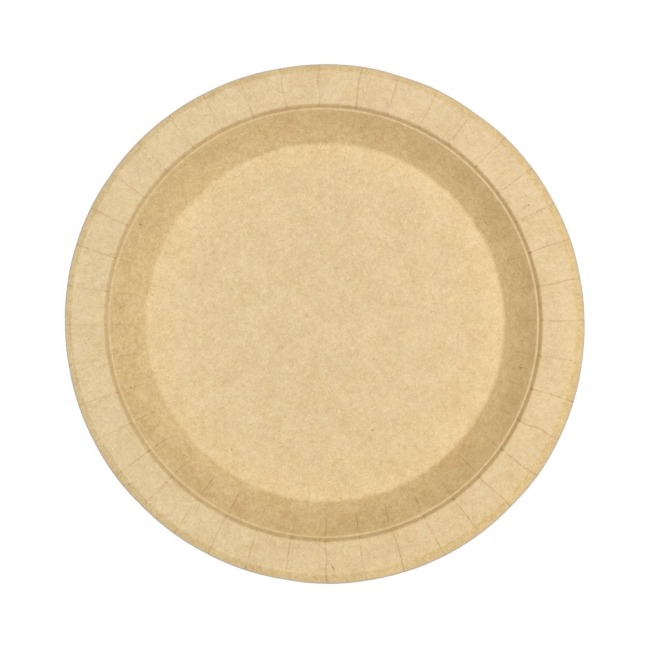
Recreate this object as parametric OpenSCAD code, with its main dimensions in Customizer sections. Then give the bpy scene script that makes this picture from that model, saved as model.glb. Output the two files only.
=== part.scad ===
// Round kraft paperboard plate, pressed from one scored blank.
// The board's upper face is a chain of straight stretches joined by bends, turned about the Z axis.
// Radial creases take up the blank's spare length around the wall, the brim and the lip.

/* [Board] */
// Thickness of the paperboard
board_t = 0.45; // [0.3:0.05:0.7]

/* [Well] */
// Diameter of the base, to the corner where the wall begins
base_d = 160.6; // [100:0.1:220]
// Distance that the wall leans outwards
wall_run = 14.15; // [9:0.05:22]
// Height that the wall climbs above the base
wall_h = 15.6; // [8:0.1:24]
// Distance from a straight slope to the corner of the wall's slow bend
wall_sag = 0.6; // [0.2:0.05:1.2]
// Inside radius of the slow bend halfway up the wall
wall_bend_r = 90; // [30:1:150]
// Inside radius of the bend between base and wall
base_bend_r = 3; // [1:0.1:8]

/* [Step] */
// Width of the level ledge at the top of the wall
ledge_w = 0.85; // [0.8:0.05:3]
// Distance that the riser leans outwards
riser_run = 1.5; // [0.4:0.05:2.5]
// Height of the riser between ledge and brim
riser_h = 2.3; // [1.4:0.05:4]
// Inside radius of the bends at both edges of the ledge
ledge_bend_r = 0.35; // [0.2:0.05:0.4]
// Inside radius of the bend between riser and brim
brim_bend_r = 0.7; // [0.3:0.05:1.2]

/* [Brim] */
// Width of the level brim
brim_w = 14.6; // [6:0.05:30]
// Distance that the lip reaches past the brim
lip_w = 3.6; // [2:0.1:8]
// Height that the lip falls below the brim
lip_drop = 2; // [1:0.1:5]
// Inside radius of the bend between brim and lip
lip_bend_r = 0.6; // [0.2:0.1:1.5]

/* [Creases] */
// Number of radial creases
crease_count = 40; // [12:1:80]
// Angle from the X axis to the first crease, in degrees
crease_turn = 0.6; // [0:0.1:9]
// Width of a crease at the plate's edge
crease_w = 0.4; // [0.2:0.05:1]
// Depth of a crease in the upper face, which stands out as much below
crease_depth = 0.12; // [0.05:0.01:0.18]

/* [Hidden] */
$fn = 240;

kraft = [0.89, 0.78, 0.6];
// Largest angle between neighbouring points on a bend, and largest distance along it
bend_step = 15;
bend_chord = 4;
// Reach of a crease's groove past the cut edge, and above the board
groove_reach = 1;
// Length of the lip's edge that a crease's ridge leaves plain
ridge_stop = 0.3;

// Corners of the upper face, from the axis to the cut edge, as if its bends were sharp
base_corner = [base_d / 2, board_t];
wall_corner = base_corner + [wall_run, wall_h];
wall_middle = (base_corner + wall_corner) / 2 - wall_sag * left_of(unit(wall_corner - base_corner));
ledge_corner = wall_corner + [ledge_w, 0];
riser_corner = ledge_corner + [riser_run, riser_h];
brim_corner = riser_corner + [brim_w, 0];
lip_end = brim_corner + [lip_w, -lip_drop];
corners = [
    [0, board_t],
    base_corner,
    wall_middle,
    wall_corner,
    ledge_corner,
    riser_corner,
    brim_corner,
    lip_end
];
inside_radii = [base_bend_r, wall_bend_r, ledge_bend_r, ledge_bend_r, brim_bend_r, lip_bend_r];

plate_r = lip_end.x;
lip_along = unit(lip_end - brim_corner);
lip_below = -left_of(lip_along);
crease_angle = crease_w / plate_r * 180 / PI;
// How far a crease's floor starts out of the board, so that it runs in along the wall
crease_run_in = crease_depth / 4;

function unit(v) = v / norm(v);
function left_of(v) = [-v.y, v.x];
function heading(v) = atan2(v.y, v.x);
function reversed(list) = [for (i = [len(list) - 1 : -1 : 0]) list[i]];

// A bend at corner i, as [centre, radius of the upper face, side, first heading, turn].
// Side is 1 where the board turns up, with the centre above it, and -1 where it turns down.
// A bend takes up no more than half of the stretch before it or after it.
function bend(i) =
    let (
        before = corners[i] - corners[i - 1],
        after = corners[i + 1] - corners[i],
        turn = heading(after) - heading(before),
        side = sign(turn),
        widest = min(norm(before), norm(after)) / 2 / tan(abs(turn) / 2),
        radius = min(inside_radii[i - 1] + (side > 0 ? 0 : board_t), widest),
        start = corners[i] - unit(before) * radius * tan(abs(turn) / 2)
    )
    [start + side * radius * left_of(unit(before)), radius, side, heading(before), turn];

bends = [for (i = [1 : len(corners) - 2]) bend(i)];
wall_bend = bends[1];
upper_bends = [for (i = [2 : len(bends) - 1]) bends[i]];

// Points along a bend, on a face whose drop below the upper face goes from one value to another
function bend_points(bend, first_drop, last_drop) =
    let (
        arc = bend[1] * abs(bend[4]) * PI / 180,
        steps = max(ceil(abs(bend[4]) / bend_step), ceil(arc / bend_chord))
    )
    [for (k = [0 : steps])
        let (
            drop = first_drop + (last_drop - first_drop) * k / steps,
            facing = bend[3] + bend[4] * k / steps - bend[2] * 90
        )
        bend[0] + (bend[1] + bend[2] * drop) * [cos(facing), sin(facing)]];

// Points along the face at a given drop, through a list of bends and past the cut edge by a given length
function face(drop, through, past = 0) = concat(
    [for (b = through) each bend_points(b, drop, drop)],
    [lip_end + drop * lip_below + past * lip_along]
);

// Points along a crease, whose drop goes from one value to another over the wall's slow bend
function crease_line(first_drop, last_drop, past) = concat(
    bend_points(wall_bend, first_drop, last_drop),
    face(last_drop, upper_bends, past)
);

// Half of the board's section, from the axis to the cut edge
module board_section() {
    upper = concat([[0, board_t]], face(0, bends));
    lower = concat([[0, 0]], face(board_t, bends));
    polygon(concat(upper, reversed(lower)));
}

// What one crease takes out of the upper face
module groove_section() {
    floor_line = crease_line(-crease_run_in, crease_depth, groove_reach);
    top = brim_corner.y + groove_reach;
    polygon(concat(floor_line, [[plate_r + groove_reach, top], [floor_line[0].x, top]]));
}

// What one crease pushes out of the lower face
module ridge_section() {
    within = crease_line(board_t / 2, board_t / 2, -ridge_stop);
    crest = crease_line(board_t - crease_run_in, board_t + crease_depth, -ridge_stop);
    polygon(concat(within, reversed(crest)));
}

// One section turned through a crease's width, at every crease
module at_creases() {
    for (i = [0 : crease_count - 1])
        rotate(crease_turn + i * 360 / crease_count - crease_angle / 2)
            rotate_extrude(angle = crease_angle)
                children();
}

module plate() {
    color(kraft)
    difference() {
        union() {
            rotate_extrude() board_section();
            at_creases() ridge_section();
        }
        at_creases() groove_section();
    }
}

plate();
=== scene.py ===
"""Kraft paperboard plate with a stepped brim, seen from nearly straight above on a white floor.

The plate is one pressed sheet. Its section (base, wall, ledge, riser, brim and lip) is carried round
the axis as a grid whose columns gather at the radial creases, and the board's thickness closes the
surface below. Colour, fibres and specks are laid out on the flat blank, so that they follow the board
through its bends.
"""

import logging
import math
from dataclasses import dataclass, field
from enum import Enum
from typing import Any, Union

import bpy
import numpy as np
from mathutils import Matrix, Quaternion, Vector


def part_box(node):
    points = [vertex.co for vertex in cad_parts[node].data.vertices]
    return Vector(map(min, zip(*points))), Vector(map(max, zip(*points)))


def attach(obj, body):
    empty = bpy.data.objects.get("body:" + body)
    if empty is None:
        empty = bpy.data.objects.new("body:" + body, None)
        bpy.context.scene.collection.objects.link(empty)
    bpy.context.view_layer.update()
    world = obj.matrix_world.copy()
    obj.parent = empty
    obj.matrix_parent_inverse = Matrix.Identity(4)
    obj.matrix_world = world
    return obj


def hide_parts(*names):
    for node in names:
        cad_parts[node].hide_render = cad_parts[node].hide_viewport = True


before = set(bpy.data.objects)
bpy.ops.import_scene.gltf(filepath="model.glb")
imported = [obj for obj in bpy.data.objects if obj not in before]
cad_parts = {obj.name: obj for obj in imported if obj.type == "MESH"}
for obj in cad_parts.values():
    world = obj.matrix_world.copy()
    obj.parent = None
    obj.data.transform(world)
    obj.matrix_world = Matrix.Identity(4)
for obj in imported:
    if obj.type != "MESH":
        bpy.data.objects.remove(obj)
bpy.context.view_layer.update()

MM = 0.001
IMAGE_PX = 650

Pair = tuple[float, float]
Triple = tuple[float, float, float]
Colour = Triple
Number = Union[float, "Shade"]
Bound = Union[float, np.ndarray]
Socket = bpy.types.NodeSocket

log = logging.getLogger("plate")


class Stretch(Enum):
    """Straight stretches of the board's section, from the axis to the cut edge."""

    BASE = 0
    FOOT = 1
    WALL = 2
    LEDGE = 3
    RISER = 4
    BRIM = 5
    LIP = 6


class Face(Enum):
    """The two faces of the board, with the level that keeps their patterns apart."""

    UPPER = 0.0
    LOWER = 40 * MM


def left_of(heading: np.ndarray) -> np.ndarray:
    """Unit vectors a quarter turn to the left of the given headings.

    Args:
        heading: Angles above the radial direction, in radians.

    Returns:
        Array of (radial, upward) vectors, one per heading.
    """
    return np.stack([-np.sin(heading), np.cos(heading)], axis=-1)


def smooth_step(value: np.ndarray, low: Bound, high: Bound) -> np.ndarray:
    """Ramp from 0 at low to 1 at high, level at both ends.

    Args:
        value: Where the ramp is read.
        low: Value at which the ramp leaves 0.
        high: Value at which the ramp reaches 1.

    Returns:
        The ramp, 3 t^2 - 2 t^3 of the share t of the way from low to high.
    """
    share = np.clip((value - low) / (high - low), 0.0, 1.0)
    return share * share * (3.0 - 2.0 * share)


def span(value: np.ndarray, first: Bound, last: Bound, soft: float) -> np.ndarray:
    """1 between two ends, falling smoothly to 0 at both.

    Args:
        value: Where the span is read.
        first: Value at which the span begins.
        last: Value at which it ends.
        soft: Length of the ramp inside either end.

    Returns:
        The span's share.
    """
    return smooth_step(value, first, first + soft) * (1.0 - smooth_step(value, last - soft, last))


@dataclass(frozen=True)
class Trace:
    """Points of the upper face along the section, from the axis outwards.

    Attributes:
        points: (radius, height) of each point.
        heading: Angle of the face above the radial direction at each point.
        arc: Length along the face from the axis, which is the radius on the flat blank.
        lip_share: 0 inside the lip fold, rising to 1 at the cut edge.
    """

    points: np.ndarray
    heading: np.ndarray
    arc: np.ndarray
    lip_share: np.ndarray


@dataclass(frozen=True)
class BoardSection:
    """Sizes of the pressed board's section, in metres.

    Attributes:
        edge_radius: Radius of the cut edge, as the frame has it.
        thickness: Thickness of the board.
        base_radius: Radius of the corner between base and wall.
        wall_run: Distance that the wall leans outwards.
        wall_height: Height that the wall climbs above the base.
        wall_sag: Distance from a straight slope to the corner of the wall's slow bend.
        ledge_width: Width of the level ledge at the top of the wall.
        riser_run: Distance that the riser leans outwards.
        riser_height: Height of the riser between ledge and brim.
        lip_width: Distance that the lip reaches past the brim.
        lip_drop: Height that the lip falls below the brim.
        inside_radii: Inside radius of each bend, from the axis outwards.
        straight_rows: Rows of points along each straight stretch.
        bend_rows: Rows of points within each bend.
        step_in: Distance before the ledge over which the step's painted shade sets in.
        step_out: Distances before and past the brim's corner between which it fades.
    """

    edge_radius: float
    thickness: float = 0.45 * MM
    base_radius: float = 80.3 * MM
    wall_run: float = 14.15 * MM
    wall_height: float = 15.6 * MM
    wall_sag: float = 0.6 * MM
    ledge_width: float = 0.85 * MM
    riser_run: float = 1.5 * MM
    riser_height: float = 2.3 * MM
    lip_width: float = 3.6 * MM
    lip_drop: float = 2.0 * MM
    inside_radii: tuple[float, ...] = (3 * MM, 90 * MM, 0.35 * MM, 0.35 * MM, 0.7 * MM, 0.6 * MM)
    straight_rows: tuple[int, ...] = (4, 4, 5, 3, 4, 12, 8)
    bend_rows: tuple[int, ...] = (7, 6, 4, 4, 6, 5)
    step_in: float = 0.3 * MM
    step_out: Pair = (0.35 * MM, 0.6 * MM)

    @classmethod
    def of_node(cls, node: str) -> "BoardSection":
        """The section of a CAD node, whose reach across gives the edge's radius."""
        low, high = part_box(node)
        return cls(edge_radius=(high[0] - low[0]) / 2)

    def corners(self) -> np.ndarray:
        """Corners of the upper face as if its bends were sharp.

        Returns:
            Array of (radius, height), from the axis to the cut edge.
        """
        base = np.array([self.base_radius, self.thickness])
        wall = base + (self.wall_run, self.wall_height)
        slope = np.arctan2(self.wall_height, self.wall_run)
        middle = (base + wall) / 2 - self.wall_sag * left_of(slope)
        ledge = wall + (self.ledge_width, 0.0)
        riser = ledge + (self.riser_run, self.riser_height)
        brim = np.array([self.edge_radius - self.lip_width, riser[1]])
        lip = brim + (self.lip_width, -self.lip_drop)
        return np.stack([(0.0, self.thickness), base, middle, wall, ledge, riser, brim, lip])

    def start(self, stretch: Stretch) -> float:
        """Radius at which a stretch begins, as if its bends were sharp."""
        return self.corners()[stretch.value, 0]

    def trace(self) -> Trace:
        """Rounds the corners and samples the upper face.

        Each bend is an arc that touches both of its stretches: it takes its radius times the tangent
        of half its turn off either one, but no more than half, and its centre lies a radius to the
        side it turns to.

        Returns:
            The sampled face.
        """
        corners = self.corners()
        steps = np.diff(corners, axis=0)
        lengths = np.hypot(*steps.T)
        headings = np.arctan2(steps[:, 1], steps[:, 0])
        ways = np.stack([np.cos(headings), np.sin(headings)], axis=-1)
        turns = np.diff(headings)
        sides = np.sign(turns)
        half_turns = np.tan(np.abs(turns) / 2)
        wanted = np.array(self.inside_radii) + np.where(sides > 0, 0.0, self.thickness)
        radii = np.minimum(wanted, np.minimum(lengths[:-1], lengths[1:]) / 2 / half_turns)
        taken = radii * half_turns
        first = corners[:-1] + ways * np.append(0.0, taken)[:, None]
        last = corners[1:] - ways * np.append(taken, 0.0)[:, None]

        points, facing = [], []
        for stretch in Stretch:
            i = stretch.value
            share = np.linspace(0.0, 1.0, self.straight_rows[i])[:, None]
            points.append(first[i] + share * (last[i] - first[i]))
            facing.append(np.full(self.straight_rows[i], headings[i]))
            if stretch is not Stretch.LIP:
                share = np.arange(1, self.bend_rows[i] + 1) / (self.bend_rows[i] + 1)
                heading = headings[i] + turns[i] * share
                reach = sides[i] * radii[i]
                centre = last[i] + reach * left_of(headings[i])
                points.append(centre - reach * left_of(heading))
                facing.append(heading)

        along = np.concatenate(points)[1:]
        gaps = np.hypot(*np.diff(along, axis=0).T)
        arc = along[0, 0] + np.append(0.0, np.cumsum(gaps))
        lip_share = np.clip((along[:, 0] - first[-1, 0]) / (last[-1, 0] - first[-1, 0]), 0.0, 1.0)
        return Trace(along, np.concatenate(facing)[1:], arc, lip_share)

    def step_share(self, trace: Trace) -> np.ndarray:
        """Where the ledge and the riser lie.

        Args:
            trace: The upper face.

        Returns:
            1 from the wall's top edge to the riser's top, falling to 0 over the bends at both ends,
            one number per row.
        """
        radius = trace.points[:, 0]
        wall, brim = self.start(Stretch.LEDGE), self.start(Stretch.BRIM)
        before, past = self.step_out
        inner = smooth_step(radius, wall - self.step_in, wall)
        return inner * (1.0 - smooth_step(radius, brim - before, brim + past))


@dataclass(frozen=True)
class Stroke:
    """How the creases' lines show on one part of the section, from 0 at its start to 1 at its end.

    Attributes:
        first: Range of the places at which lines begin.
        last: Range of the places at which they end.
        soft: Length over which a line fades in and out.
        strength: Range of the lines' strengths, where one below 0 leaves no line.
    """

    first: Pair
    last: Pair
    soft: float
    strength: Pair

    def lines(self, rng: np.random.Generator, share: np.ndarray, count: int) -> np.ndarray:
        """Draws one line for each crease.

        Args:
            rng: Gives all the beginnings, then all the ends, then all the strengths.
            share: Place of each row along the part.
            count: Number of creases.

        Returns:
            Strength of each line at each row, rows by creases.
        """
        ranges = (self.first, self.last, self.strength)
        first, last, strength = [rng.uniform(*ends, count) for ends in ranges]
        return span(share, first, last, self.soft) * strength.clip(0.0)


@dataclass(frozen=True)
class Creases:
    """Radial creases, where the blank's spare length is pressed together.

    Each crease has a main line, and most have a fainter twin beside it on the wall or on the brim.
    Every line begins and ends at its own place on either, and wanders a little from side to side.

    Attributes:
        count: Number of creases round the plate.
        turn: Angle from +X to the first crease.
        depth: Depth of an average crease on the brim.
        half_width: Distance from a line's middle at which its groove is about a third as deep.
        sharpness: Power with which a groove closes to either side.
        twin_gap: Distance from a crease's middle to its twin.
        offsets: Distances of the columns across a crease from its middle.
        panel_columns: Columns on the plain panel between two creases.
        stray: Typical error of a crease's angle.
        skew: Typical difference of a crease's angle between foot and edge.
        meander: Typical distance that a crease wanders from a straight line.
        meander_wave: Shortest and longest wave of that wandering.
        lift: Typical height by which one side of a panel rises, and the other falls, at the brim.
        bulge: Height of a panel's middle over its sides at the brim.
        ragged: Typical error of the cut edge's radius at a crease.
        wall_heavy_side: Direction in which the wall's creases are pressed hardest.
        wall_least: Share of that pressing on the other side.
        brim_heavy_side: Direction in which the brim's creases are pressed hardest.
        brim_least: Share of that pressing on the other side.
        wall_line: Main lines on the wall.
        brim_line: Main lines on the brim.
        wall_twin: Twins on the wall.
        brim_twin: Twins on the brim.
        tick_reach: Distances before the riser and past its top at which a main line's tick ends.
        tick_soft: Length over which the tick fades at either end.
        tick_strength: Range of the ticks' strengths.
        lip_start: Share of a line's strength at the fold of the lip.
        lip_strength: Range of the lines' strengths at the cut edge.
        press_seed: Seed of how hard each crease is struck.
        seed: Seed of the creases' places and of the panels' errors.
    """

    count: int = 40
    turn: float = math.radians(0.6)
    depth: float = 0.1 * MM
    half_width: float = 0.2 * MM
    sharpness: float = 1.5
    twin_gap: float = 1.1 * MM
    offsets: tuple[float, ...] = tuple(
        MM * x for x in (-1.4, -1.22, -1.1, -0.98, -0.75, -0.3, -0.13, 0.0, 0.13, 0.3, 0.6)
    )
    panel_columns: int = 4
    stray: float = math.radians(0.15)
    skew: float = math.radians(0.25)
    meander: float = 0.18 * MM
    meander_wave: Pair = (12 * MM, 26 * MM)
    lift: float = 0.05 * MM
    bulge: float = 0.05 * MM
    ragged: float = 0.16 * MM
    wall_heavy_side: float = math.radians(275)
    wall_least: float = 0.3
    brim_heavy_side: float = math.radians(330)
    brim_least: float = 0.65
    wall_line: Stroke = Stroke(first=(0.22, 0.45), last=(0.9, 1.05), soft=0.12, strength=(0.85, 1.6))
    brim_line: Stroke = Stroke(first=(-0.1, 0.15), last=(0.95, 1.2), soft=0.15, strength=(0.75, 1.6))
    wall_twin: Stroke = Stroke(first=(0.35, 0.6), last=(0.75, 0.95), soft=0.15, strength=(-0.6, 0.7))
    brim_twin: Stroke = Stroke(first=(-0.05, 0.3), last=(0.3, 0.9), soft=0.2, strength=(-0.6, 0.7))
    tick_reach: Pair = (0.1 * MM, 0.7 * MM)
    tick_soft: float = 0.35 * MM
    tick_strength: Pair = (1.0, 2.5)
    lip_start: float = 0.4
    lip_strength: Pair = (0.6, 2.2)
    press_seed: int = 33557
    seed: int = 11

    @property
    def pitch(self) -> float:
        """Angle from one crease to the next."""
        return 2 * math.pi / self.count

    def nominal(self) -> np.ndarray:
        """Evenly spaced angles of the creases."""
        return self.turn + self.pitch * np.arange(self.count)

    def panel_shares(self) -> np.ndarray:
        """Places of a panel's columns, as shares of the way from one crease to the next."""
        return np.arange(1, self.panel_columns + 1) / (self.panel_columns + 1)

    def twin_sides(self) -> np.ndarray:
        """Side of each crease on which its twin lies, as 1 or -1."""
        return np.random.default_rng(self.seed + 3).choice([-1.0, 1.0], self.count)

    def own_offsets(self) -> np.ndarray:
        """Distances of each crease's columns from its middle, turned to its twin's side.

        Returns:
            Array of distances, creases by columns.
        """
        across = np.array(self.offsets)
        return np.where(self.twin_sides()[:, None] < 0, across, -across[::-1])

    def angles(self, radius: np.ndarray, foot: float, edge: float) -> np.ndarray:
        """Angle of every grid column at every row.

        A crease's middle starts from its own angle, leans evenly from foot to edge and wanders as a
        sine of the distance from the foot. Its own columns keep their distance from the middle at any
        radius past the foot of the wall. The panel's columns share out the angle between one crease's
        last column and the next crease's first.

        Args:
            radius: Radius of each row.
            foot: Radius at the foot of the wall, where the creases begin.
            edge: Radius of the cut edge.

        Returns:
            Array of angles, rows by columns.
        """
        rng = np.random.default_rng(self.seed)
        middle = self.nominal() + rng.normal(0.0, self.stray, self.count)
        lean = rng.normal(0.0, self.skew, self.count)
        reach = rng.normal(0.0, self.meander, self.count)
        phase = rng.uniform(0.0, 2 * math.pi, self.count)
        wave = rng.uniform(*self.meander_wave, self.count)
        outward = np.clip(radius[:, None] - foot, 0.0, edge - foot)
        aside = reach * np.sin(2 * math.pi * outward / wave + phase)
        held = np.maximum(radius, foot)[:, None]
        centre = middle + lean * (outward / (edge - foot) - 0.5) + aside / held
        own = centre[:, :, None] + self.own_offsets() / held[:, :, None]
        following = np.roll(own[:, :, 0], -1, axis=1)
        following[:, -1] += 2 * math.pi
        between = own[:, :, -1:] + (following - own[:, :, -1])[:, :, None] * self.panel_shares()
        return np.concatenate([own, between], axis=2).reshape(len(radius), -1)

    def profile(self, middle: np.ndarray) -> np.ndarray:
        """How far each column lies into a line.

        Args:
            middle: Distance of each crease's line from the crease's middle.

        Returns:
            1 on the line, falling as exp(-(x / half width)^sharpness) to either side, and 0 on the
            panels; creases by columns.
        """
        near = np.abs(self.own_offsets() - middle[:, None]) / self.half_width
        return np.pad(np.exp(-(near**self.sharpness)), ((0, 0), (0, self.panel_columns)))

    def heaviness(self, side: float, least: float) -> np.ndarray:
        """How hard each crease is pressed: 1 on one side, least opposite it, a cosine in between."""
        return least + (1.0 - least) * (0.5 + 0.5 * np.cos(self.nominal() - side))

    def marks(self, section: BoardSection, trace: Trace) -> np.ndarray:
        """How far every point of the face lies into a crease.

        On the wall and on the brim a line begins and ends at its own place. Across the riser it is a
        dark tick, and on the lip it deepens to the edge. Twins lie on the wall and the brim alone.

        Args:
            section: The board's section.
            trace: The upper face.

        Returns:
            0 for plain board and 1 for an average crease, rows by columns.
        """
        rng = np.random.default_rng(self.press_seed)
        radius = trace.points[:, :1]
        lip = trace.lip_share[:, None]
        foot, top = section.start(Stretch.FOOT), section.start(Stretch.LEDGE)
        brim, fold = section.start(Stretch.BRIM), section.start(Stretch.LIP)
        before, past = self.tick_reach
        climb = (radius - foot) / (top - foot)
        across = (radius - brim) / (fold - brim)
        tick = span(radius, section.start(Stretch.RISER) - before, brim + past, self.tick_soft)
        falling = (self.lip_start + (1.0 - self.lip_start) * lip) * (lip > 0)
        on_wall = self.heaviness(self.wall_heavy_side, self.wall_least)
        on_brim = self.heaviness(self.brim_heavy_side, self.brim_least)

        main = on_wall * self.wall_line.lines(rng, climb, self.count)
        main += on_brim * tick * rng.uniform(*self.tick_strength, self.count)
        main += on_brim * self.brim_line.lines(rng, across, self.count)
        main += falling * rng.uniform(*self.lip_strength, self.count)
        twin = on_wall * self.wall_twin.lines(rng, climb, self.count)
        twin += on_brim * self.brim_twin.lines(rng, across, self.count)

        own = self.profile(np.zeros(self.count))
        beside = self.profile(self.twin_gap * self.twin_sides())
        total = main[:, :, None] * own + twin[:, :, None] * beside
        return total.reshape(len(radius), -1)

    def across_panels(self, first: np.ndarray, last: np.ndarray) -> np.ndarray:
        """Numbers that run evenly across each panel and step to the next panel's within a crease.

        Args:
            first: Number at the start of each panel.
            last: Number at its end.

        Returns:
            Number for each column, creases by columns.
        """
        panel = first[:, None] + (last - first)[:, None] * self.panel_shares()
        step = smooth_step(self.own_offsets(), -self.half_width, self.half_width)
        own = np.roll(last, 1)[:, None] * (1 - step) + first[:, None] * step
        return np.concatenate([own, panel], axis=1)

    def panel_height(self) -> np.ndarray:
        """Height of each column over the true form at full pressing.

        Each panel tilts by its own amount, and stands proud in its middle by bulge times a half wave.

        Returns:
            Height for each column, in metres.
        """
        tilt = np.random.default_rng(self.seed + 1).normal(0.0, self.lift, self.count)
        proud = np.pad(self.bulge * np.sin(math.pi * self.panel_shares()), (len(self.offsets), 0))
        return (self.across_panels(-tilt, tilt) + proud).ravel()

    def edge_growth(self) -> np.ndarray:
        """Extra length of the lip at each column, which runs evenly from one crease's to the next's."""
        error = np.random.default_rng(self.seed + 4).normal(0.0, self.ragged, self.count)
        return self.across_panels(error, np.roll(error, -1)).ravel()


@dataclass(frozen=True)
class Warp:
    """Small departures of the real sheet from a true turned form.

    Attributes:
        oval: Growth of the edge's radius along the board's grain, which shrinks across it.
        grain: Direction of the board's grain.
        three: Growth of the edge's radius in three directions.
        three_way: The first of those directions.
        blank_shift: Distance by which the cut blank lay off the press's centre.
        blank_side: Direction of that shift.
        lip_lean: Share by which the lip falls further on one side, and less opposite it.
        lip_lean_side: Direction of that side.
        fold_sway: Distance by which the lip's fold sways in and out.
        fold_reach: Distance to either side of the fold over which the board sways with it.
        fold_waves: Numbers of those waves round the edge.
        flutter: Height of the edge's slow waves.
        flutter_waves: Numbers of waves round the edge.
        seed: Seed of the waves' phases.
    """

    oval: float = 0.43 * MM
    grain: float = math.radians(-31)
    three: float = 0.16 * MM
    three_way: float = math.radians(50)
    blank_shift: float = 0.84 * MM
    blank_side: float = math.radians(-58)
    lip_lean: float = 0.17
    lip_lean_side: float = math.radians(26)
    fold_sway: float = 0.04 * MM
    fold_reach: float = 1.6 * MM
    fold_waves: tuple[int, ...] = (7, 12, 19, 27, 38)
    flutter: float = 0.12 * MM
    flutter_waves: tuple[int, ...] = (2, 3, 5, 7)
    seed: int = 5

    def stretch(self, angle: np.ndarray, share: np.ndarray) -> np.ndarray:
        """Change of radius, which grows as the square of the share of the radius.

        Args:
            angle: Angle of each point.
            share: Radius of each point as a share of the edge's.

        Returns:
            Length to add to each point's radius: a cosine of two waves and one of three.
        """
        oval = self.oval * np.cos(2 * (angle - self.grain))
        three = self.three * np.cos(3 * (angle - self.three_way))
        return (oval + three) * share**2

    def waves(self, angle: np.ndarray, counts: tuple[int, ...], seed: int) -> np.ndarray:
        """A sum of cosines round the plate, each with its own phase.

        Args:
            angle: Angle of each point.
            counts: Number of waves of each cosine.
            seed: Seed of the phases.

        Returns:
            The sum at each point.
        """
        phases = np.random.default_rng(seed).uniform(0.0, 2 * math.pi, len(counts))
        return sum(np.cos(count * angle + phase) for count, phase in zip(counts, phases))

    def lip_growth(self, angle: np.ndarray) -> np.ndarray:
        """Extra length of the lip: the blank's shift times the cosine of the angle from its side."""
        return self.blank_shift * np.cos(angle - self.blank_side)

    def lip_fall(self, angle: np.ndarray) -> np.ndarray:
        """Share by which the lip falls further: the lean times the cosine of the angle from its side."""
        return self.lip_lean * np.cos(angle - self.lip_lean_side)

    def sway(self, angle: np.ndarray, past_fold: np.ndarray) -> np.ndarray:
        """Change of radius near the lip's fold.

        Args:
            angle: Angle of each point.
            past_fold: Distance of each row outside the fold.

        Returns:
            Length to add to each point's radius: the waves times exp(-(distance / reach)^2).
        """
        near = np.exp(-((past_fold / self.fold_reach) ** 2))
        return near * self.fold_sway * self.waves(angle, self.fold_waves, self.seed + 1)

    def rise(self, angle: np.ndarray, share: np.ndarray) -> np.ndarray:
        """Height of the slow waves, which grows with the fourth power of the share of the radius."""
        return self.flutter / 2 * share**4 * self.waves(angle, self.flutter_waves, self.seed)


class Shade:
    """A number that varies over a surface, written in Python and worked out by Math nodes."""

    def __init__(self, tree: "ShaderTree", socket: Socket) -> None:
        """Keeps the socket that gives the number, and the tree it belongs to."""
        self.tree = tree
        self.socket = socket

    def _math(self, operation: str, first: Number, second: Number) -> "Shade":
        """Adds one Math node.

        Args:
            operation: The node's operation.
            first: First operand.
            second: Second operand.

        Returns:
            The node's result.
        """
        made = self.tree.node("ShaderNodeMath", {"operation": operation}, {0: first, 1: second})
        return Shade(self.tree, made.outputs[0])

    def __add__(self, other: Number) -> "Shade":
        """self + other."""
        return self._math("ADD", self, other)

    def __radd__(self, other: Number) -> "Shade":
        """other + self."""
        return self._math("ADD", other, self)

    def __sub__(self, other: Number) -> "Shade":
        """self - other."""
        return self._math("SUBTRACT", self, other)

    def __rsub__(self, other: Number) -> "Shade":
        """other - self."""
        return self._math("SUBTRACT", other, self)

    def __mul__(self, other: Number) -> "Shade":
        """self * other."""
        return self._math("MULTIPLY", self, other)

    def __rmul__(self, other: Number) -> "Shade":
        """other * self."""
        return self._math("MULTIPLY", other, self)

    def __abs__(self) -> "Shade":
        """Size of self, whatever its sign."""
        return self._math("ABSOLUTE", self, 0.0)

    def __gt__(self, other: Number) -> "Shade":
        """1 where self is over other, else 0."""
        return self._math("GREATER_THAN", self, other)

    def at_least(self, low: Number) -> "Shade":
        """The larger of self and low."""
        return self._math("MAXIMUM", self, low)

    def ramp(self, low: float, high: float) -> "Shade":
        """Smooth ramp from 0 at low to 1 at high.

        Args:
            low: Value that gives 0.
            high: Value that gives 1.

        Returns:
            The ramp, held at 0 and 1 outside the range.
        """
        made = self.tree.node(
            "ShaderNodeMapRange",
            {"interpolation_type": "SMOOTHSTEP"},
            {"Value": self, "From Min": low, "From Max": high},
        )
        return Shade(self.tree, made.outputs[0])


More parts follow.
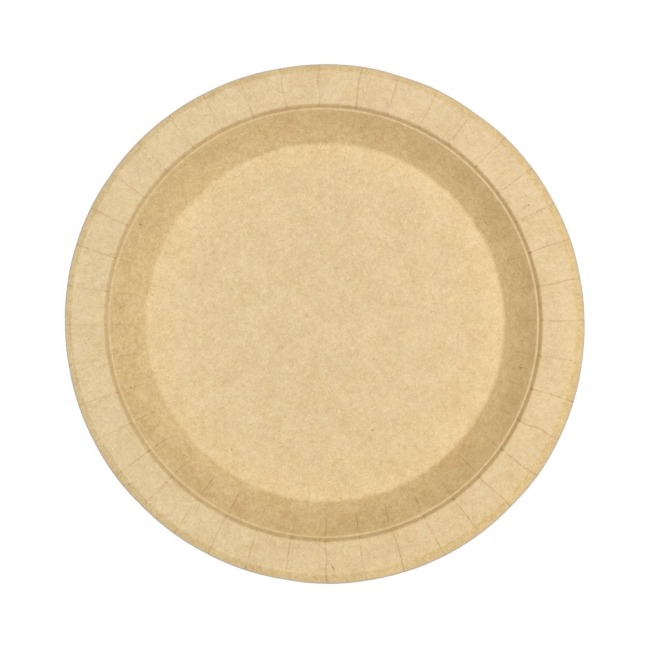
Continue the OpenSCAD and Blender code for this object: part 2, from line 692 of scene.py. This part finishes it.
class ShaderTree:
    """A material's or world's node tree, and the few ways in which nodes are added to it."""

    COLOUR_INPUTS = {"factor": 0, "first": 6, "second": 7}
    COLOUR_OUTPUT = 2

    def __init__(self, owner: Union[bpy.types.Material, bpy.types.World]) -> None:
        """Clears the owner's nodes.

        Args:
            owner: The material or world.
        """
        owner.use_nodes = True
        self.tree = owner.node_tree
        self.tree.nodes.clear()

    def node(
        self,
        kind: str,
        settings: dict[str, Any] | None = None,
        inputs: dict[Union[str, int], Any] | None = None,
    ) -> bpy.types.Node:
        """Adds a node of any kind.

        Args:
            kind: The node's type.
            settings: Values of the node's own properties, set first.
            inputs: Values or links of its sockets, by name or number.

        Returns:
            The new node.
        """
        made = self.tree.nodes.new(kind)
        for name, value in (settings or {}).items():
            setattr(made, name, value)
        for key, value in (inputs or {}).items():
            self.feed(made.inputs[key], value)
        return made

    def feed(self, socket: Socket, value: Any) -> None:
        """Links a socket to a shade or another socket, or sets its value.

        Args:
            socket: The socket to feed.
            value: A shade, an output socket, a colour of three numbers, or a plain value.
        """
        if isinstance(value, Shade):
            self.tree.links.new(value.socket, socket)
        elif isinstance(value, Socket):
            self.tree.links.new(value, socket)
        elif socket.type == "RGBA":
            socket.default_value = (*value, 1.0)
        else:
            socket.default_value = value

    def number(self, attribute: str) -> Shade:
        """A number that the mesh carries at its points."""
        made = self.node("ShaderNodeAttribute", {"attribute_name": attribute})
        return Shade(self, made.outputs["Fac"])

    def vector(self, attribute: str) -> Socket:
        """A vector that the mesh carries at its points."""
        return self.node("ShaderNodeAttribute", {"attribute_name": attribute}).outputs["Vector"]

    def along(self, place: Socket, angle: float) -> Shade:
        """Distance from the axis in a given direction.

        Args:
            place: The coordinates.
            angle: The direction.

        Returns:
            The distance, in metres.
        """
        way = (math.cos(angle), math.sin(angle), 0.0)
        made = self.node("ShaderNodeVectorMath", {"operation": "DOT_PRODUCT"}, {0: place, 1: way})
        return Shade(self, made.outputs["Value"])

    def reach(self, place: Socket) -> Shade:
        """Distance of the coordinates from where they are 0."""
        made = self.node("ShaderNodeVectorMath", {"operation": "LENGTH"}, {0: place})
        return Shade(self, made.outputs["Value"])

    def noise(
        self,
        place: Socket,
        size: float,
        detail: float = 1.0,
        roughness: float = 0.5,
        distortion: float = 0.0,
    ) -> Shade:
        """Noise from 0 to 1 about a middle of 0.5.

        Args:
            place: Where the noise is read.
            size: Size of its lumps, in metres.
            detail: Octaves of finer noise added to it.
            roughness: Strength of each finer octave.
            distortion: How far the noise is bent.

        Returns:
            The noise.
        """
        made = self.node(
            "ShaderNodeTexNoise",
            {"noise_dimensions": "3D"},
            {
                "Vector": place,
                "Scale": 1.0 / size,
                "Detail": detail,
                "Roughness": roughness,
                "Distortion": distortion,
            },
        )
        return Shade(self, made.outputs["Fac"])

    def placed(self, place: Socket, middle: Triple, turn: float, unit: Triple) -> Socket:
        """Coordinates about a middle of their own, turned about Z, in units of their own.

        Args:
            place: The coordinates.
            middle: Where the new ones are 0.
            turn: Angle of their X axis, in radians.
            unit: Length of 1 along each of their axes.

        Returns:
            The new coordinates.
        """
        made = self.node(
            "ShaderNodeMapping",
            {"vector_type": "TEXTURE"},
            {"Vector": place, "Location": middle, "Rotation": (0.0, 0.0, turn), "Scale": unit},
        )
        return made.outputs[0]

    def turned(self, place: Socket, turn: float, stretch: float, shift: float) -> Socket:
        """Coordinates that part a pattern from others, turn it, and stretch it along its X axis."""
        return self.placed(place, (shift, -shift, 0.0), turn, (stretch, 1.0, 1.0))

    def mix(self, factor: Number, first: Any, second: Any, blend: str = "MIX") -> Socket:
        """Mixes two colours.

        Args:
            factor: Share of the second colour.
            first: A colour or its socket.
            second: A colour or its socket.
            blend: How the colours are mixed.

        Returns:
            The mixed colour.
        """
        values = {"factor": factor, "first": first, "second": second}
        made = self.node(
            "ShaderNodeMix",
            {"data_type": "RGBA", "blend_type": blend, "clamp_factor": True},
            {self.COLOUR_INPUTS[name]: value for name, value in values.items()},
        )
        return made.outputs[self.COLOUR_OUTPUT]

    def tint(self, factor: Number, plain: Any, tint: Any) -> Socket:
        """Multiplies a colour by a share of a tint."""
        return self.mix(factor, plain, tint, "MULTIPLY")

    def surface(self, shader: bpy.types.Node, output: str = "ShaderNodeOutputMaterial") -> None:
        """Makes a shader the tree's surface."""
        self.node(output, inputs={"Surface": shader.outputs[0]})


@dataclass(frozen=True)
class Lumps:
    """One layer of noise in the sheet.

    Attributes:
        size: Size of its lumps.
        detail: Octaves of finer noise added to it.
        roughness: Strength of each finer octave.
        weight: How much it counts among other layers.
        limits: Noise at which the layer begins to show, and at which it shows fully.
    """

    size: float
    detail: float = 1.0
    roughness: float = 0.5
    weight: float = 1.0
    limits: Pair = (0.35, 0.65)

    def noise(self, tree: ShaderTree, place: Socket) -> Shade:
        """The layer's noise, about a middle of 0.5."""
        return tree.noise(place, self.size, self.detail, self.roughness)

    def swing(self, tree: ShaderTree, place: Socket) -> Shade:
        """The layer's noise about 0, by its weight."""
        return self.weight * (self.noise(tree, place) - 0.5)

    def share(self, tree: ShaderTree, place: Socket, more: Number = 0.0) -> Shade:
        """How far the layer shows, from 0 to 1, where more is added to its noise."""
        return (self.noise(tree, place) + more).ramp(*self.limits)


@dataclass(frozen=True)
class Sheet:
    """The plain sheet: dense and thin parts, tinted clouds and painted light. Drifts are per metre.

    Attributes:
        deep: Colour of the sheet's dense parts.
        pale: Colour of its thin parts.
        middle: Share of the pale colour in the average sheet.
        layers: Its dense and thin parts, from broad clouds down to single grains.
        painted_light_side: Direction in which painted light makes the sheet paler, for the light's
            falloff across it.
        painted_light_drift: How much paler it grows that way.
        pale_way: Direction along which it is paler than across it.
        way_drift: How much paler it grows along that direction, and darker across it.
        edge_painted_light: How much paler painted light makes the sheet at its edge, so the brim shows
            brighter.
        edge_limits: Distances from the axis between which that sets in.
        ruddy: Tint of its redder clouds.
        olive: Tint of its greener clouds.
        red_clouds: Those clouds.
        ruddy_side: Direction in which the redder clouds gather.
        ruddy_drift: How much they gather there.
        sallow: Tint of its yellower clouds.
        sallow_clouds: Those clouds.
        sallow_shift: Distance that parts them from the other clouds.
    """

    deep: Colour = (0.673, 0.481, 0.257)
    pale: Colour = (0.855, 0.681, 0.417)
    middle: float = 0.47
    layers: tuple[Lumps, ...] = (
        Lumps(14 * MM, detail=2.0, roughness=0.55, weight=0.95),
        Lumps(3.2 * MM, detail=2.0, roughness=0.6, weight=1.1),
        Lumps(1.0 * MM, detail=1.0, roughness=0.6, weight=0.9),
    )
    painted_light_side: float = math.radians(40)
    painted_light_drift: float = 0.7
    pale_way: float = 0.0
    way_drift: float = 0.77
    edge_painted_light: float = 0.08
    edge_limits: Pair = (90 * MM, 118 * MM)
    ruddy: Colour = (1.0, 0.984, 0.987)
    olive: Colour = (0.984, 1.0, 0.987)
    red_clouds: Lumps = Lumps(11 * MM)
    ruddy_side: float = math.radians(15)
    ruddy_drift: float = 1.7
    sallow: Colour = (1.0, 1.0, 0.956)
    sallow_clouds: Lumps = Lumps(9 * MM)
    sallow_shift: float = 40 * MM

    def tone(self, tree: ShaderTree, place: Socket, strong: Shade) -> Shade:
        """Dense and thin parts of the sheet, and painted light paler to one side and at its edge.

        Args:
            tree: Where the nodes go.
            place: Coordinates on the flat blank.
            strong: How far the parts are drawn from each other.

        Returns:
            0 for dense board and 1 for thin board.
        """
        uneven: Number = 0.0
        for layer in self.layers:
            uneven = uneven + layer.swing(tree, place)
        # painted light: paler towards one side, for the light's falloff, and paler towards the edge
        side = self.painted_light_drift * tree.along(place, self.painted_light_side)
        edge = self.edge_painted_light * tree.reach(place).ramp(*self.edge_limits)
        along = abs(tree.along(place, self.pale_way))
        across = abs(tree.along(place, self.pale_way + math.pi / 2))
        return self.middle + uneven * strong + (side + edge) + self.way_drift * (along - across)

    def colour(self, tree: ShaderTree, place: Socket, tone: Shade) -> Socket:
        """Colour of the sheet, without its fibres.

        Args:
            tree: Where the nodes go.
            place: Coordinates on the flat blank.
            tone: Dense and thin parts.

        Returns:
            The colour.
        """
        red = self.red_clouds.share(tree, place, self.ruddy_drift * tree.along(place, self.ruddy_side))
        yellow = self.sallow_clouds.share(tree, tree.turned(place, 0.0, 1.0, self.sallow_shift))
        colour = tree.mix(tone, self.deep, self.pale)
        colour = tree.tint(1.0, colour, tree.mix(red, self.olive, self.ruddy))
        return tree.tint(yellow, colour, self.sallow)


@dataclass(frozen=True)
class Fibres:
    """Short fibres of one colour, which lie in several directions.

    Attributes:
        colour: Their colour.
        cover: Share of that colour where a fibre shows fully.
        relief: Height of a fibre over the sheet, as a share of the bump.
        shift: Distance that parts them from other fibres.
        limits: Noise at which a fibre begins to show, and at which it shows fully.
        width: Their width.
        stretch: How many times longer than wide they are.
        bend: How far they are bent.
        turns: Directions in which they lie.
    """

    colour: Colour
    cover: float
    relief: float
    shift: float
    limits: Pair
    width: float = 0.5 * MM
    stretch: float = 8.0
    bend: float = 0.5
    turns: tuple[float, ...] = (0.2, 0.85, 1.45, 2.1, 2.75)

    def share(self, tree: ShaderTree, place: Socket) -> Shade:
        """Where the fibres lie.

        Args:
            tree: Where the nodes go.
            place: Coordinates on the flat blank.

        Returns:
            Share of fibre at each point.
        """
        total: Number = 0.0
        for count, turn in enumerate(self.turns, start=1):
            along = tree.turned(place, turn, self.stretch, self.shift * count)
            total = tree.noise(along, self.width, distortion=self.bend).ramp(*self.limits) + total
        return total


@dataclass(frozen=True)
class Specks:
    """Few dark specks of bark: spots in one cell out of many, each of its own strength.

    Attributes:
        colour: Their colour.
        cover: Share of that colour in the middle of the strongest.
        cell: Size of a cell.
        turn: Direction in which specks are longer.
        stretch: How many times longer they are that way.
        shift: Distance that parts their pattern from others.
        chosen: A cell's own number at which it begins to hold a speck, and at which it holds one fully.
        fade: Distances from a speck's middle, in cells, at which it begins to fade and at which it ends.
    """

    colour: Colour = (0.20, 0.115, 0.05)
    cover: float = 0.65
    cell: float = 6.5 * MM
    turn: float = 0.9
    stretch: float = 1.8
    shift: float = 3 * MM
    chosen: Pair = (0.86, 0.97)
    fade: Pair = (0.02, 0.075)

    def share(self, tree: ShaderTree, place: Socket) -> Shade:
        """Where the specks lie.

        Args:
            tree: Where the nodes go.
            place: Coordinates on the flat blank.

        Returns:
            Share of speck at each point.
        """
        along = tree.turned(place, self.turn, self.stretch, self.shift)
        cells = tree.node("ShaderNodeTexVoronoi", inputs={"Vector": along, "Scale": 1 / self.cell})
        own = tree.node("ShaderNodeSeparateColor", inputs={"Color": cells.outputs["Color"]})
        picked = Shade(tree, own.outputs[0]).ramp(*self.chosen)
        near = 1.0 - Shade(tree, cells.outputs["Distance"]).ramp(*self.fade)
        return near * picked


@dataclass(frozen=True)
class Scar:
    """A short scratch or bark speck in the upper face, placed on the flat blank.

    Attributes:
        reach: Distance of its middle from the axis.
        side: Direction in which it lies.
        turn: Direction in which it runs.
        length: Its length.
        width: Its width.
        strength: Share of the scar's colour in its middle.
        core: Share of its size within which it doesn't fade.
    """

    reach: float
    side: float
    turn: float
    length: float
    width: float
    strength: float
    core: float = 0.2

    def share(self, tree: ShaderTree, place: Socket) -> Shade:
        """Where the scar lies.

        Args:
            tree: Where the nodes go.
            place: Coordinates on the flat blank.

        Returns:
            Its strength in the middle, falling to 0 at the edge of an ellipse.
        """
        middle = (self.reach * math.cos(self.side), self.reach * math.sin(self.side), 0.0)
        halves = (self.length / 2, self.width / 2, self.width / 2)
        own = tree.placed(place, middle, self.turn, halves)
        return self.strength * (1.0 - tree.reach(own).ramp(self.core, 1.0))


@dataclass(frozen=True)
class Pressing:
    """What age and the press do to the sheet's colour, and where shade is painted on it.

    Attributes:
        aged: Tint of the side on which the sheet has yellowed.
        aged_side: Direction of that side.
        aged_limits: Distances from the axis that way between which the tint sets in.
        slope_shade: Painted shade on board that climbs a slope, darker and warmer, as it leans from the
            light.
        step_shade: Painted shade in the step of ledge and riser, the concave corner that lies in shade.
        turned: Tint of board turned down by the press: partly painted shade, warmer and darker, partly
            yellowing.
        patches: Patches in which that tint is stronger.
        patch_least: Strength of the tint between the patches.
        patch_gain: How much stronger it is within them.
        turned_drift: How much stronger it grows per metre towards the aged side.
        rim: Painted shade along the cut edge, which faces outwards and down.
        rim_cover: Share of that shade at the edge.
        shadow: Painted shade in the bottom of a crease.
        crease_patches: Patches in which a crease's painted shade and roughness show fully.
        crease_least: Share of them that shows between the patches.
    """

    aged: Colour = (1.0, 0.985, 0.95)
    aged_side: float = math.radians(335)
    aged_limits: Pair = (-30 * MM, 120 * MM)
    slope_shade: Colour = (0.955, 0.902, 0.795)
    step_shade: Colour = (0.912, 0.878, 0.82)
    turned: Colour = (0.99, 0.93, 0.71)
    patches: Lumps = Lumps(2.5 * MM, limits=(0.3, 0.7))
    patch_least: float = 0.65
    patch_gain: float = 0.7
    turned_drift: float = 3.0
    rim: Colour = (0.65, 0.535, 0.395)
    rim_cover: float = 0.6
    shadow: Colour = (0.78, 0.69, 0.60)
    crease_patches: Lumps = Lumps(1.4 * MM, limits=(0.36, 0.58))
    crease_least: float = 0.4

    def crease(self, tree: ShaderTree, place: Socket) -> Shade:
        """How far a crease's painted shade and roughness show, which is patchy."""
        patchy = self.crease_least + (1.0 - self.crease_least) * self.crease_patches.share(tree, place)
        return tree.number("crease") * patchy

    def colour(
        self, tree: ShaderTree, place: Socket, plain: Socket, slope: Shade, fall: Shade
    ) -> Socket:
        """Colour of the aged, pressed sheet, with painted shade on slopes, step, lip and cut edge.

        Args:
            tree: Where the nodes go.
            place: Coordinates on the flat blank.
            plain: Colour of the plain sheet.
            slope: How steeply the board climbs.
            fall: How steeply it falls.

        Returns:
            The colour, without the creases' shadows.
        """
        aged = tree.along(place, self.aged_side)
        patchy = self.patch_least + self.patch_gain * self.patches.share(tree, place)
        falling = fall * patchy * (1.0 + self.turned_drift * aged)
        colour = tree.tint(aged.ramp(*self.aged_limits), plain, self.aged)
        # painted shade: the climbing slopes made darker and warmer
        colour = tree.tint(slope, colour, self.slope_shade)
        # painted shade in the concave step of ledge and riser
        colour = tree.tint(tree.number("step"), colour, self.step_shade)
        # partly painted shade: the falling lip made warmer and darker, more so in patches
        colour = tree.tint(falling, colour, self.turned)
        # painted shade along the cut edge
        return tree.mix(self.rim_cover * tree.number("cut"), colour, self.rim)


@dataclass(frozen=True)
class KraftFinish:
    """Unbleached kraft board: a warm buff sheet with cloudy fibre, fine streaks and dark specks.

    Attributes:
        sheet: The plain sheet.
        fibres: Its pale fibres and its dark ones.
        specks: Its specks of bark.
        pressing: What the press leaves on it, with its painted shade.
        slope_gain: How much stronger clouds and fibres show on a full slope.
        fall_gain: How much stronger they show on a full fall.
        scar: Colour of scratches.
        scars: The few scratches and larger specks.
        scar_depth: Depth of a scratch, as a share of the bump.
        tone_relief: Height of thin board over dense board, as a share of the bump.
        bump_height: Height of the bump.
        bump_strength: Strength of the bump.
        roughness: Roughness of the plain sheet.
        tone_rough: How much rougher thin board is than dense board.
        crease_rough: How much rougher a crease is.
        cut_rough: How much rougher the cut edge is.
        gloss: Strength of the board's mirroring.
    """

    sheet: Sheet = Sheet()
    fibres: tuple[Fibres, ...] = (
        Fibres((0.918, 0.745, 0.46), cover=0.45, relief=0.25, shift=17 * MM, limits=(0.62, 0.76)),
        Fibres((0.545, 0.337, 0.155), cover=0.40, relief=-0.2, shift=29 * MM, limits=(0.64, 0.78)),
    )
    specks: Specks = Specks()
    pressing: Pressing = Pressing()
    slope_gain: float = 0.4
    fall_gain: float = 0.7
    scar: Colour = (0.31, 0.165, 0.06)
    scars: tuple[Scar, ...] = (
        Scar(116.1 * MM, math.radians(272.4), math.radians(-60), 4.2 * MM, 1.2 * MM, 0.75),
        Scar(93.4 * MM, math.radians(347.2), math.radians(-5), 2.8 * MM, 1.3 * MM, 0.8),
        Scar(97.6 * MM, math.radians(151.8), math.radians(-10), 3.0 * MM, 1.3 * MM, 0.6),
        Scar(89.0 * MM, math.radians(216.7), math.radians(35), 9.0 * MM, 0.5 * MM, 0.25),
    )
    scar_depth: float = 2.0
    tone_relief: float = 0.5
    bump_height: float = 0.05 * MM
    bump_strength: float = 0.35
    roughness: float = 0.78
    tone_rough: float = 0.14
    crease_rough: float = 0.08
    cut_rough: float = 0.1
    gloss: float = 0.25

    def material(self, name: str) -> bpy.types.Material:
        """Builds the finish.

        Args:
            name: The material's name.

        Returns:
            The material.
        """
        made = bpy.data.materials.new(name)
        tree = ShaderTree(made)
        blank = tree.vector("blank")
        steep = tree.number("slope")
        slope = steep.at_least(0.0)
        fall = (0.0 - steep).at_least(0.0)
        strong = 1.0 + self.slope_gain * slope + self.fall_gain * fall

        tone = self.sheet.tone(tree, blank, strong)
        colour = self.sheet.colour(tree, blank, tone)
        relief = self.tone_relief * tone
        for kind in self.fibres:
            share = kind.share(tree, blank) * strong
            colour = tree.mix(kind.cover * share, colour, kind.colour)
            relief = relief + kind.relief * share

        crease = self.pressing.crease(tree, blank)
        colour = self.pressing.colour(tree, blank, colour, slope, fall)
        # painted shade in the bottom of the creases
        colour = tree.tint(crease, colour, self.pressing.shadow)
        colour = tree.mix(self.specks.cover * self.specks.share(tree, blank), colour, self.specks.colour)
        scarred: Number = 0.0
        for scar in self.scars:
            scarred = scar.share(tree, blank) + scarred
        colour = tree.mix(scarred, colour, self.scar)
        relief = relief - self.scar_depth * scarred

        bump = tree.node(
            "ShaderNodeBump",
            inputs={"Height": relief, "Strength": self.bump_strength, "Distance": self.bump_height},
        )
        rough = self.roughness + self.tone_rough * (tone - 0.5)
        rough = rough + self.crease_rough * crease + self.cut_rough * tree.number("cut")
        board = tree.node(
            "ShaderNodeBsdfPrincipled",
            inputs={
                "Base Color": colour,
                "Roughness": rough,
                "Normal": bump.outputs[0],
                "Specular IOR Level": self.gloss,
            },
        )
        tree.surface(board)
        return made


@dataclass
class Plate:
    """The plate: the board's section carried round the axis, creased and slightly warped.

    Attributes:
        section: Sizes of the section.
        creases: The radial creases.
        warp: Departures from a true turned form.
        finish: The board's look.
        edge_bulge: How far the cut edge's middle stands out.
        free_from: Distance outside the base at which panels begin to stand free of the true form.
        edge_shade_rough_from: Share of the lip at which the cut edge's painted shade and extra roughness
            begin.
    """

    section: BoardSection
    creases: Creases = field(default_factory=Creases)
    warp: Warp = field(default_factory=Warp)
    finish: KraftFinish = field(default_factory=KraftFinish)
    edge_bulge: float = 0.04 * MM
    free_from: float = 1.5 * MM
    edge_shade_rough_from: float = 0.45

    def pressed(self, trace: Trace) -> np.ndarray:
        """How far the panels between creases stand free of the true form.

        Args:
            trace: The upper face.

        Returns:
            0 up to the foot of the wall, a half at the wall's top and 1 past it, one number per row.
        """
        radius = trace.points[:, 0]
        foot = self.section.base_radius
        top = foot + self.section.wall_run
        wall = smooth_step(radius, foot + self.free_from, top)
        return 0.5 * (wall + smooth_step(radius, top, top + self.section.ledge_width))

    def build(self) -> bpy.types.Object:
        """Makes the plate's mesh.

        Each row of the section becomes a ring. A point lies at the section's radius and height, moved
        along the face's normal into a crease or out with its panel, and the lower face lies one board
        thickness under it. Rings run from the axis out over the upper face, round the cut edge and
        back under the plate, and a point at either end of the axis closes them.

        Returns:
            The plate, at the origin.
        """
        trace = self.section.trace()
        radius = trace.points[:, 0]
        edge = radius[-1]
        angle = self.creases.angles(radius, self.section.base_radius, edge)
        crease = self.creases.marks(self.section, trace)
        panel = self.pressed(trace)[:, None] * self.creases.panel_height()
        lift = panel - self.creases.depth * crease

        normal = left_of(trace.heading)
        lip_way = np.array([math.cos(trace.heading[-1]), math.sin(trace.heading[-1])])
        lip = trace.lip_share[:, None]
        growth = lip * (self.warp.lip_growth(angle) + self.creases.edge_growth())
        past_fold = radius - edge + self.section.lip_width
        upper = trace.points[:, None, :] + lift[..., None] * normal[:, None, :]
        upper = upper + growth[..., None] * lip_way
        upper[..., 0] += self.warp.sway(angle, past_fold[:, None])
        upper[..., 1] -= lip * self.section.lip_drop * self.warp.lip_fall(angle)
        lower = upper - self.section.thickness * normal[:, None, :]
        middle = (upper[-1:] + lower[-1:]) / 2 + self.edge_bulge * lip_way

        turn = self.around(angle)
        arc = self.around(trace.arc)
        step = self.around(self.section.step_share(trace))
        slope = self.around(np.sin(trace.heading)) * (1.0 - step)
        # where the cut edge's painted shade and extra roughness set in
        cut = self.around(smooth_step(trace.lip_share, self.edge_shade_rough_from, 1.0))
        level = np.repeat([Face.UPPER.value, Face.LOWER.value], [len(radius) + 1, len(radius)])
        place = self.warped(np.concatenate([upper, middle, lower[::-1]]), turn, edge)
        rows = {"slope": slope, "step": step, "cut": cut, "level": level}
        carried = {name: np.broadcast_to(row[:, None], turn.shape) for name, row in rows.items()}
        blank = [arc[:, None] * np.cos(turn), arc[:, None] * np.sin(turn), carried.pop("level")]
        carried["blank"] = np.stack(blank, axis=-1)
        carried["crease"] = self.around(crease)
        return self.mesh(place, carried)

    def around(self, values: np.ndarray) -> np.ndarray:
        """Values of the upper face's rows, carried round the cut edge and back under the plate."""
        return np.concatenate([values, values[-1:], values[::-1]])

    def warped(self, rings: np.ndarray, turn: np.ndarray, edge: float) -> np.ndarray:
        """Turns section points into places, with the sheet's oval and slow waves.

        A point's radius grows by the oval, and its height by the waves, which set in past the base. X
        and Y are that radius times the cosine and the sine of its angle.

        Args:
            rings: (radius, height) of every point.
            turn: Angle of every point.
            edge: Radius of the cut edge.

        Returns:
            (x, y, z) of every point.
        """
        share = rings[..., 0] / edge
        radius = rings[..., 0] + self.warp.stretch(turn, share)
        free = smooth_step(rings[..., 0], self.section.base_radius, edge)
        height = rings[..., 1] + free * self.warp.rise(turn, share)
        return np.stack([radius * np.cos(turn), radius * np.sin(turn), height], axis=-1)

    def mesh(self, place: np.ndarray, carried: dict[str, np.ndarray]) -> bpy.types.Object:
        """Joins rings of points into a closed surface.

        Args:
            place: (x, y, z) of every point, rings by columns.
            carried: Numbers or vectors that the points carry, by name.

        Returns:
            The new object.
        """
        rings, columns = place.shape[:2]
        number = np.arange(rings * columns).reshape(rings, columns)
        following = np.roll(number, -1, axis=1)
        quads = np.stack([number[:-1], number[1:], following[1:], following[:-1]], axis=-1)
        top, bottom = rings * columns, rings * columns + 1
        fans = np.concatenate(
            [
                np.stack([np.full(columns, top), number[0], following[0]], axis=-1),
                np.stack([np.full(columns, bottom), following[-1], number[-1]], axis=-1),
            ]
        )
        poles = np.array([[0.0, 0.0, place[0, 0, 2]], [0.0, 0.0, place[-1, 0, 2]]])
        points = np.concatenate([place.reshape(-1, 3), poles])

        data = bpy.data.meshes.new("plate_board")
        data.from_pydata(points.tolist(), [], quads.reshape(-1, 4).tolist() + fans.tolist())
        for name, values in carried.items():
            ends = values[[0, -1], :].mean(axis=1)
            if values.ndim == 3:
                ends[:, :2] = 0.0
                kind, key, flat = "FLOAT_VECTOR", "vector", values.reshape(-1, 3)
            else:
                kind, key, flat = "FLOAT", "value", values.reshape(-1)
            layer = data.attributes.new(name, kind, "POINT")
            layer.data.foreach_set(key, np.concatenate([flat, ends]).astype(np.float32).ravel())
        data.polygons.foreach_set("use_smooth", np.ones(len(data.polygons), dtype=bool))
        data.update()
        made = bpy.data.objects.new("plate_board", data)
        bpy.context.scene.collection.objects.link(made)
        return made

    def dress(self, board: bpy.types.Object) -> None:
        """Gives the board its finish and its place in the frame.

        Args:
            board: The plate's object.
        """
        board.data.materials.append(self.finish.material("kraft_board"))
        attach(board, "root")
        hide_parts("plate")


@dataclass(frozen=True)
class Studio:
    """White floor, soft light from above and the camera over the plate.

    Attributes:
        edge_radius: The plate's radius.
        edge_height: Height of the plate's edge.
        floor_half: Half the floor's side.
        floor_gap: Distance of the floor under the base, which keeps the two faces apart.
        floor_colour: Colour of the floor.
        floor_glow: Share of plain white in what the camera sees of the floor.
        glow_strength: Strength of that white.
        white: Colour of that white, of the sky and of the even light.
        fill: Strength of the even light from all round.
        panel_side: Side of the square light above the plate.
        panel_height: Its height.
        panel_shift: How far it stands from the axis.
        panel_side_way: Direction in which it stands off the axis.
        panel_power: Its power.
        tilt: Angle by which the camera stands off the plate's axis.
        tilt_way: Direction in which it stands off.
        lens: Focal length, in millimetres.
        sensor: Width of the sensor, in millimetres.
        edge_px: Radius of the plate's edge in the image.
        centre_px: Place of the plate's axis in the image, from the upper left.
    """

    RAYS = ("Is Camera Ray", "Is Glossy Ray", "Is Transmission Ray")

    edge_radius: float
    edge_height: float
    floor_half: float = 4.0
    floor_gap: float = 0.1 * MM
    floor_colour: Colour = (0.9, 0.9, 0.9)
    floor_glow: float = 0.93
    glow_strength: float = 1.02
    white: Colour = (1.0, 1.0, 1.0)
    fill: float = 0.12
    panel_side: float = 1.8
    panel_height: float = 2.0
    panel_shift: float = 0.36
    panel_side_way: float = math.radians(5)
    panel_power: float = 44.2
    tilt: float = math.radians(3.3)
    tilt_way: float = math.radians(16)
    lens: float = 135.0
    sensor: float = 36.0
    edge_px: float = 260.08
    centre_px: Pair = (322.77, 323.03)

    def seen(self, tree: ShaderTree) -> Shade:
        """Which rays show the studio itself.

        Args:
            tree: Where the nodes go.

        Returns:
            1 for rays from the camera, and for mirrored and transmitted ones, else 0.
        """
        path = tree.node("ShaderNodeLightPath")
        camera, glossy, through = [Shade(tree, path.outputs[name]) for name in self.RAYS]
        return (camera + glossy + through) > 0.5

    def parted(
        self, tree: ShaderTree, plain: bpy.types.Node, bright: bpy.types.Node, share: float
    ) -> bpy.types.Node:
        """A shader that lights the plate in one way and shows itself in another.

        Args:
            tree: Where the nodes go.
            plain: Shader for rays that carry light to the plate.
            bright: Shader for what is seen.
            share: Share of the bright shader in what is seen.

        Returns:
            The mixed shader.
        """
        inputs = {0: self.seen(tree) * share, 1: plain.outputs[0], 2: bright.outputs[0]}
        return tree.node("ShaderNodeMixShader", inputs=inputs)

    def floor(self) -> bpy.types.Object:
        """Makes the floor: a wide square just under the plate's foot, which is the plane z = 0.

        Returns:
            The floor, as stage and not part of the object.
        """
        half = self.floor_half
        sides = np.array([-half, half])
        x, y = np.meshgrid(sides, sides)
        points = np.stack([x.ravel(), y.ravel(), np.full(4, -self.floor_gap)], axis=-1)
        data = bpy.data.meshes.new("floor")
        data.from_pydata(points.tolist(), [], [(0, 1, 3, 2)])
        made = bpy.data.objects.new("floor", data)
        bpy.context.scene.collection.objects.link(made)
        data.materials.append(self.floor_material())
        return made

    def floor_material(self) -> bpy.types.Material:
        """Builds the floor's finish.

        Returns:
            Matt white that the camera sees as nearly plain white, with a trace of the plate's shadow.
        """
        made = bpy.data.materials.new("floor_white")
        tree = ShaderTree(made)
        matt = tree.node("ShaderNodeBsdfDiffuse", inputs={"Color": self.floor_colour})
        lit = {"Color": self.white, "Strength": self.glow_strength}
        glow = tree.node("ShaderNodeEmission", inputs=lit)
        tree.surface(self.parted(tree, matt, glow, self.floor_glow))
        return made

    def world(self) -> None:
        """Even fill light, with plain white where the camera looks past the floor."""
        made = bpy.data.worlds.new("studio")
        bpy.context.scene.world = made
        tree = ShaderTree(made)
        dim, bright = [
            tree.node("ShaderNodeBackground", inputs={"Color": self.white, "Strength": strength})
            for strength in (self.fill, 1.0)
        ]
        tree.surface(self.parted(tree, dim, bright, 1.0), "ShaderNodeOutputWorld")

    def panel(self) -> bpy.types.Object:
        """Hangs the wide soft light above the plate, a little to one side.

        Returns:
            The light, which the camera doesn't see.
        """
        data = bpy.data.lights.new("panel", "AREA")
        data.shape = "SQUARE"
        data.size = self.panel_side
        data.energy = self.panel_power
        made = bpy.data.objects.new("panel", data)
        made.location = (
            self.panel_shift * math.cos(self.panel_side_way),
            self.panel_shift * math.sin(self.panel_side_way),
            self.panel_height,
        )
        made.visible_camera = False
        bpy.context.scene.collection.objects.link(made)
        return made

    def camera(self) -> bpy.types.Object:
        """The camera above, at the distance where the plate's edge has its size in the image.

        Returns:
            The camera, turned to the plate's axis at the edge's height and then moved sideways, so
            that the axis has its place in the image.
        """
        data = bpy.data.cameras.new("camera")
        data.lens = self.lens
        data.sensor_width = self.sensor
        focal_px = self.lens / self.sensor * IMAGE_PX
        scale = self.edge_px / self.edge_radius
        hinge = Vector((-math.sin(self.tilt_way), math.cos(self.tilt_way), 0.0))
        turned = Quaternion(hinge, self.tilt)
        aside = Vector((IMAGE_PX / 2 - self.centre_px[0], self.centre_px[1] - IMAGE_PX / 2, focal_px))
        made = bpy.data.objects.new("camera", data)
        made.rotation_euler = turned.to_euler()
        made.location = Vector((0.0, 0.0, self.edge_height)) + turned @ (aside / scale)
        bpy.context.scene.collection.objects.link(made)
        bpy.context.scene.camera = made
        return made


def main() -> None:
    """Builds the plate and the studio, and logs the plate's faces and each placed object."""
    logging.basicConfig(level=logging.INFO, format="%(message)s")
    bpy.context.scene.view_settings.view_transform = "Standard"

    section = BoardSection.of_node("plate")
    plate = Plate(section)
    board = plate.build()
    plate.dress(board)
    log.info("%s: %d faces", board.name, len(board.data.polygons))

    edge = section.corners()[-1]
    studio = Studio(edge_radius=edge[0], edge_height=edge[1])
    studio.world()
    for made in (studio.floor(), studio.panel(), studio.camera()):
        log.info("%s placed", made.name)

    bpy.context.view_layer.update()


if __name__ == "__main__":
    main()
